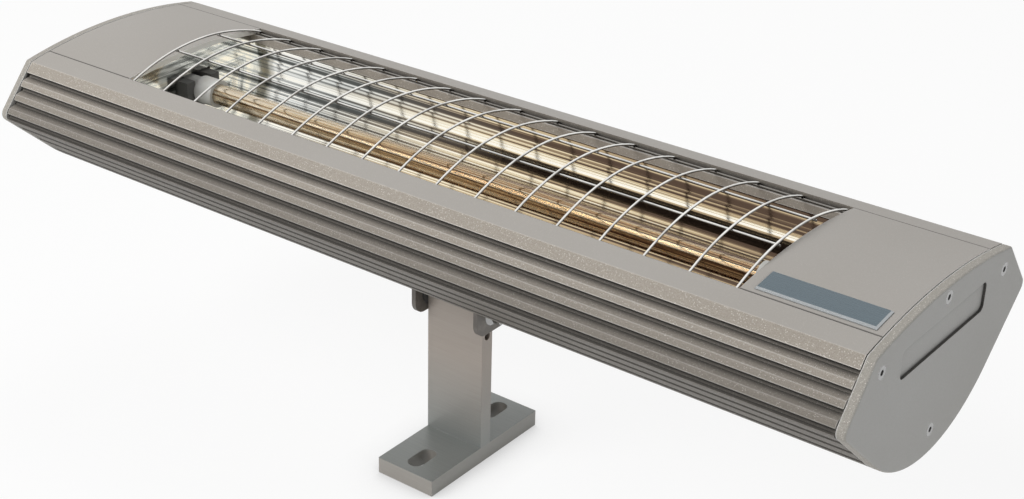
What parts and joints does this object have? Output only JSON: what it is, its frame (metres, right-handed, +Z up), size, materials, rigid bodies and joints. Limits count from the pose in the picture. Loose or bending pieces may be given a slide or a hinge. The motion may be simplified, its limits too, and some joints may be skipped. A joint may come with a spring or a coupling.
{
  "type": "infrared heater",
  "caption": "Long infrared heater with a ribbed aluminium housing, wire guard, reflector trough and quartz lamp, tilting on a slotted tee bracket.",
  "frame": {"origin": "middle of the bracket foot's underside", "axes": "+X along the heater, towards the end without the cable gland; +Y to the back; +Z up, the way the lamp faces at rest"},
  "size_m": [0.519, 0.1636, 0.1856],
  "materials": {
    "housing_coat": "fine-textured metallic grey-beige powder coat on extruded and cast aluminium",
    "bracket_aluminium": "satin anodised extrusion",
    "saddle_coat": "folded steel sheet, grey coat",
    "zinc_steel": "zinc-plated steel",
    "guard_steel": "polished stainless wire",
    "mirror_aluminium": "bright polished reflector sheet",
    "coated_quartz": "quartz tube with a gold-brown infrared coating",
    "tungsten": "wound tungsten",
    "white_ceramic": "matt steatite",
    "grey_ceramic": "dark grey pressed ceramic",
    "black_rubber": "silicone gasket",
    "silicone": "silicone-insulated lead",
    "plate_metal": "satin blue-grey plate with a bright bevel",
    "black_plastic": "moulded polyamide"
  },
  "bodies": {
    "bracket": {"wall_bracket": "bracket_aluminium", "pivot_bolt_left": "zinc_steel", "pivot_bolt_right": "zinc_steel", "pivot_washer_left": "black_plastic", "pivot_washer_right": "black_plastic"},
    "heater": {"housing_profile": "housing_coat", "end_cap_left": "housing_coat", "end_cap_right": "housing_coat", "cover_plate_left": "housing_coat", "cover_plate_right": "housing_coat", "pivot_saddle": "saddle_coat", "saddle_screws": "zinc_steel", "cap_screws_left": "zinc_steel", "cap_screws_right": "zinc_steel", "holder_bracket_left": "zinc_steel", "holder_bracket_right": "zinc_steel", "guard_cross_wires": "guard_steel", "guard_long_wires": "guard_steel", "guard_edge_wires": "guard_steel", "reflector": "mirror_aluminium", "reflector_end_left": "mirror_aluminium", "reflector_end_right": "mirror_aluminium", "lamp_tube": "coated_quartz", "lamp_filament": "tungsten", "lamp_cap_left": "white_ceramic", "lamp_cap_right": "white_ceramic", "terminal_block": "white_ceramic", "lamp_holder_left": "grey_ceramic", "lamp_holder_right": "grey_ceramic", "end_seal_left": "black_rubber", "end_seal_right": "black_rubber", "lamp_lead_left": "silicone", "lamp_lead_right": "silicone", "name_plate": "plate_metal", "gland_body": "black_plastic", "gland_dome_nut": "black_plastic", "gland_lock_nut": "black_plastic"}
  },
  "joints": [
    {"name": "tilt", "type": "hinge", "parent": "bracket", "child": "heater", "pos_m": [0, 0, 0.088], "axis": [1, 0, 0], "range_deg": [-90, 90]}
  ]
}
